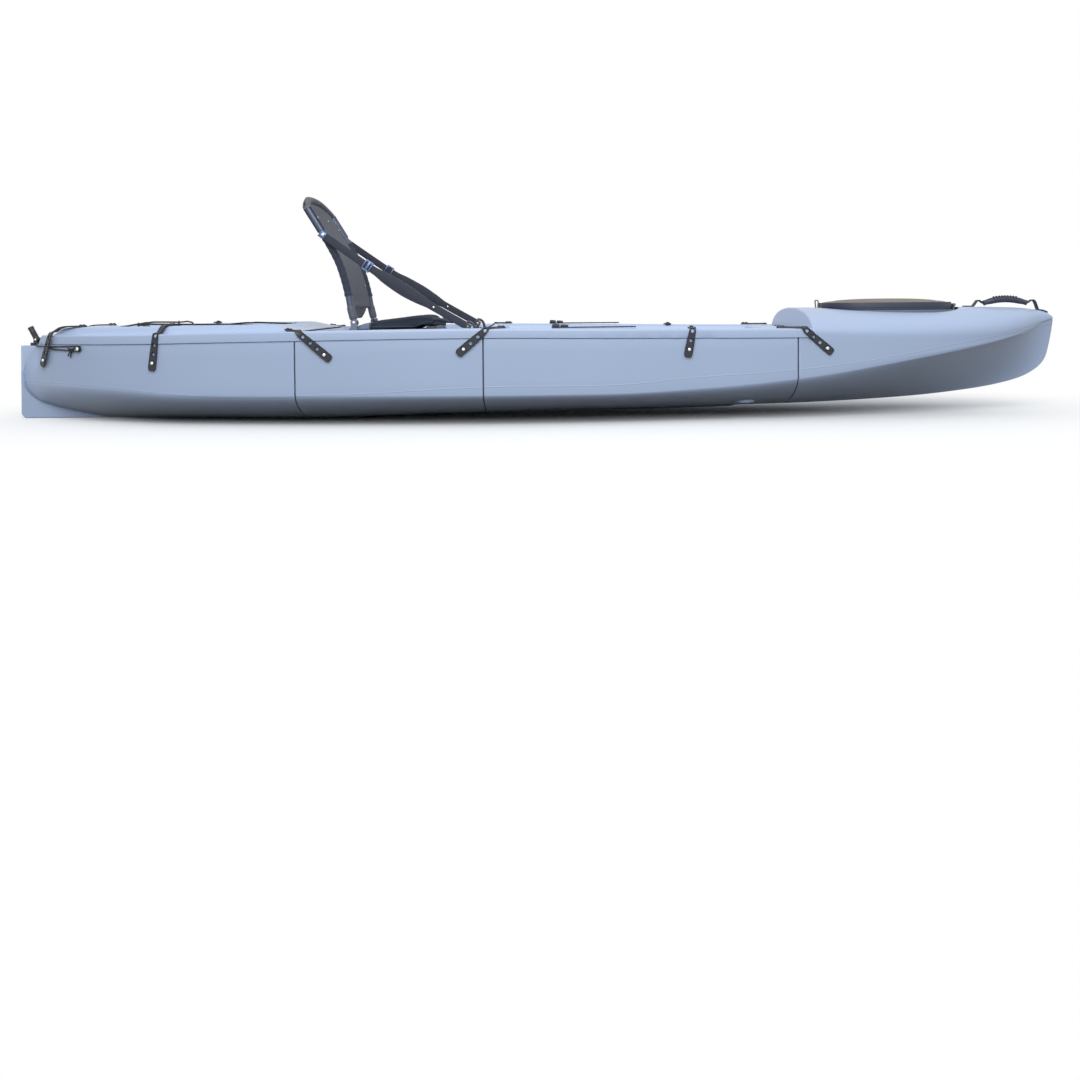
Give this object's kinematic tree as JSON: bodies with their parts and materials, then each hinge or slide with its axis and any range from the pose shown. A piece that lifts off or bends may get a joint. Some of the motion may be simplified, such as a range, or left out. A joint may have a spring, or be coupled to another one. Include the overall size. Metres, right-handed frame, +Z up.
{
  "type": "fishing kayak",
  "caption": "Modular sit-on-top fishing kayak with hull tubs and deck lids held by latch straps, a folding seat, a bow hatch and carry handles.",
  "frame": {"origin": "centre of the bounding box in plan, on the surface that the skeg and keel rest on", "axes": "+X towards the bow, +Y to port, +Z up; the hull is mirrored about the XZ plane"},
  "size_m": [3.6574, 0.876, 0.7675],
  "materials": {
    "hull_plastic": "rotomoulded polyethylene, slight satin",
    "gasket_rubber": "matte",
    "strap_rubber": "satin",
    "hatch_dark": "matte",
    "hatch_grey": "matte",
    "hatch_tan": "matte foam",
    "black_plastic": "satin",
    "steel": "satin",
    "seat_fabric": "matte",
    "panel_mesh": "ribbed matte",
    "frame_tube": "dark coated",
    "webbing": "woven matte",
    "cord": "woven matte"
  },
  "bodies": {
    "hull": {"bow_handle_ear_aft": "webbing", "bow_handle_ear_forward": "webbing", "bungee_cord": "cord", "cord_post_port": "steel", "cord_post_starboard": "steel", "deck_cockpit": "hull_plastic", "deck_seat": "hull_plastic", "deck_stern": "hull_plastic", "gear_track_port": "black_plastic", "gear_track_starboard": "black_plastic", "hatch_rim": "hatch_grey", "hull_bow": "hull_plastic", "hull_mid_aft": "hull_plastic", "hull_mid_forward": "hull_plastic", "hull_stern": "hull_plastic", "seam_gasket_aft": "gasket_rubber", "seam_gasket_forward": "gasket_rubber", "seam_gasket_mid": "gasket_rubber", "seat_anchor_port": "black_plastic", "seat_anchor_starboard": "black_plastic", "seat_base": "black_plastic", "seat_buckle_port": "black_plastic", "seat_buckle_starboard": "black_plastic", "seat_cushion": "seat_fabric", "seat_strap_port": "webbing", "seat_strap_starboard": "webbing", "stern_cord_port": "cord", "stern_cord_starboard": "cord", "stern_toggle_base": "black_plastic", "strap_aft_joint_port_root": "strap_rubber", "strap_aft_joint_starboard_root": "strap_rubber", "strap_aft_side_port_root": "strap_rubber", "strap_aft_side_starboard_root": "strap_rubber", "strap_bow_joint_port_root": "strap_rubber", "strap_bow_joint_starboard_root": "strap_rubber", "strap_cockpit_side_port_root": "strap_rubber", "strap_cockpit_side_starboard_root": "strap_rubber", "strap_mid_joint_port_root": "strap_rubber", "strap_mid_joint_starboard_root": "strap_rubber", "strap_stern_port_root": "strap_rubber", "strap_stern_starboard_root": "strap_rubber"},
    "strap_stern_starboard": {"strap_stern_starboard": "strap_rubber"},
    "strap_stern_port": {"strap_stern_port": "strap_rubber"},
    "strap_aft_side_starboard": {"strap_aft_side_starboard": "strap_rubber"},
    "strap_aft_side_port": {"strap_aft_side_port": "strap_rubber"},
    "strap_aft_joint_starboard": {"strap_aft_joint_starboard": "strap_rubber"},
    "strap_aft_joint_port": {"strap_aft_joint_port": "strap_rubber"},
    "strap_mid_joint_starboard": {"strap_mid_joint_starboard": "strap_rubber"},
    "strap_mid_joint_port": {"strap_mid_joint_port": "strap_rubber"},
    "strap_cockpit_side_starboard": {"strap_cockpit_side_starboard": "strap_rubber"},
    "strap_cockpit_side_port": {"strap_cockpit_side_port": "strap_rubber"},
    "strap_bow_joint_starboard": {"strap_bow_joint_starboard": "strap_rubber"},
    "strap_bow_joint_port": {"strap_bow_joint_port": "strap_rubber"},
    "backrest": {"backrest_frame": "frame_tube", "backrest_panel": "panel_mesh"},
    "hatch_lid": {"hatch_lid": "hatch_dark", "hatch_pad": "hatch_tan"},
    "hatch_pull": {"hatch_pull": "black_plastic"},
    "bow_handle": {"bow_handle_grip": "black_plastic"},
    "stern_toggle": {"stern_toggle_grip": "strap_rubber"}
  },
  "joints": [
    {"name": "strap_stern_starboard_unlatch", "type": "hinge", "parent": "hull", "child": "strap_stern_starboard", "pos_m": [-1.67674, -0.13072, 0.29112], "axis": [-0.685, 0.5244, 0.5058], "range_deg": [0, 100]},
    {"name": "strap_stern_port_unlatch", "type": "hinge", "parent": "hull", "child": "strap_stern_port", "pos_m": [-1.67674, 0.13072, 0.29112], "axis": [0.685, 0.5244, -0.5058], "range_deg": [0, 100]},
    {"name": "strap_aft_side_starboard_unlatch", "type": "hinge", "parent": "hull", "child": "strap_aft_side_starboard", "pos_m": [-1.24617, -0.32498, 0.29648], "axis": [-0.9511, 0.267, 0.1554], "range_deg": [0, 100]},
    {"name": "strap_aft_side_port_unlatch", "type": "hinge", "parent": "hull", "child": "strap_aft_side_port", "pos_m": [-1.24617, 0.32498, 0.29648], "axis": [0.9511, 0.267, -0.1554], "range_deg": [0, 100]},
    {"name": "strap_aft_joint_starboard_unlatch", "type": "hinge", "parent": "hull", "child": "strap_aft_joint_starboard", "pos_m": [-0.76618, -0.4007, 0.30386], "axis": [-0.6365, 0.0939, -0.7655], "range_deg": [0, 78]},
    {"name": "strap_aft_joint_port_unlatch", "type": "hinge", "parent": "hull", "child": "strap_aft_joint_port", "pos_m": [-0.76618, 0.4007, 0.30386], "axis": [0.6365, 0.0939, 0.7655], "range_deg": [0, 78]},
    {"name": "strap_mid_joint_starboard_unlatch", "type": "hinge", "parent": "hull", "child": "strap_mid_joint_starboard", "pos_m": [-0.16403, -0.43263, 0.30888], "axis": [-0.6498, -0.0306, 0.7595], "range_deg": [0, 100]},
    {"name": "strap_mid_joint_port_unlatch", "type": "hinge", "parent": "hull", "child": "strap_mid_joint_port", "pos_m": [-0.16403, 0.43263, 0.30888], "axis": [0.6498, -0.0306, -0.7595], "range_deg": [0, 100]},
    {"name": "strap_cockpit_side_starboard_unlatch", "type": "hinge", "parent": "hull", "child": "strap_cockpit_side_starboard", "pos_m": [0.49725, -0.3733, 0.3016], "axis": [-0.9732, -0.1387, 0.1832], "range_deg": [0, 100]},
    {"name": "strap_cockpit_side_port_unlatch", "type": "hinge", "parent": "hull", "child": "strap_cockpit_side_port", "pos_m": [0.49725, 0.3733, 0.3016], "axis": [0.9732, -0.1387, -0.1832], "range_deg": [0, 100]},
    {"name": "strap_bow_joint_starboard_unlatch", "type": "hinge", "parent": "hull", "child": "strap_bow_joint_starboard", "pos_m": [0.86824, -0.32886, 0.2989], "axis": [-0.6393, -0.0429, -0.7678], "range_deg": [0, 100]},
    {"name": "strap_bow_joint_port_unlatch", "type": "hinge", "parent": "hull", "child": "strap_bow_joint_port", "pos_m": [0.86824, 0.32886, 0.2989], "axis": [0.6393, -0.0429, 0.7678], "range_deg": [0, 100]},
    {"name": "backrest_fold", "type": "hinge", "parent": "hull", "child": "backrest", "pos_m": [-0.6155, 0, 0.3308], "axis": [0, 1, 0], "range_deg": [0, 86], "deforming": ["seat_strap_port", "seat_strap_starboard", "seat_buckle_port", "seat_buckle_starboard"]},
    {"name": "hatch_lid_swing", "type": "hinge", "parent": "hull", "child": "hatch_lid", "pos_m": [1.462, 0, 0.3726], "axis": [0, 1, 0], "range_deg": [0, 95]},
    {"name": "hatch_pull_swing", "type": "hinge", "parent": "hatch_lid", "child": "hatch_pull", "pos_m": [0.9935, 0, 0.3621], "axis": [0, 1, 0], "range_deg": [-55, 12]},
    {"name": "bow_handle_swing", "type": "hinge", "parent": "hull", "child": "bow_handle", "pos_m": [1.6595, 0, 0.37665], "axis": [1, 0, 0], "range_deg": [-70, 70], "stiffness_Nm_per_rad": 0.05, "deforming": ["bow_handle_ear_aft", "bow_handle_ear_forward"]},
    {"name": "stern_toggle_swing", "type": "hinge", "parent": "hull", "child": "stern_toggle", "pos_m": [-1.782, 0, 0.2776], "axis": [0, 1, 0], "range_deg": [-58, 45]}
  ]
}
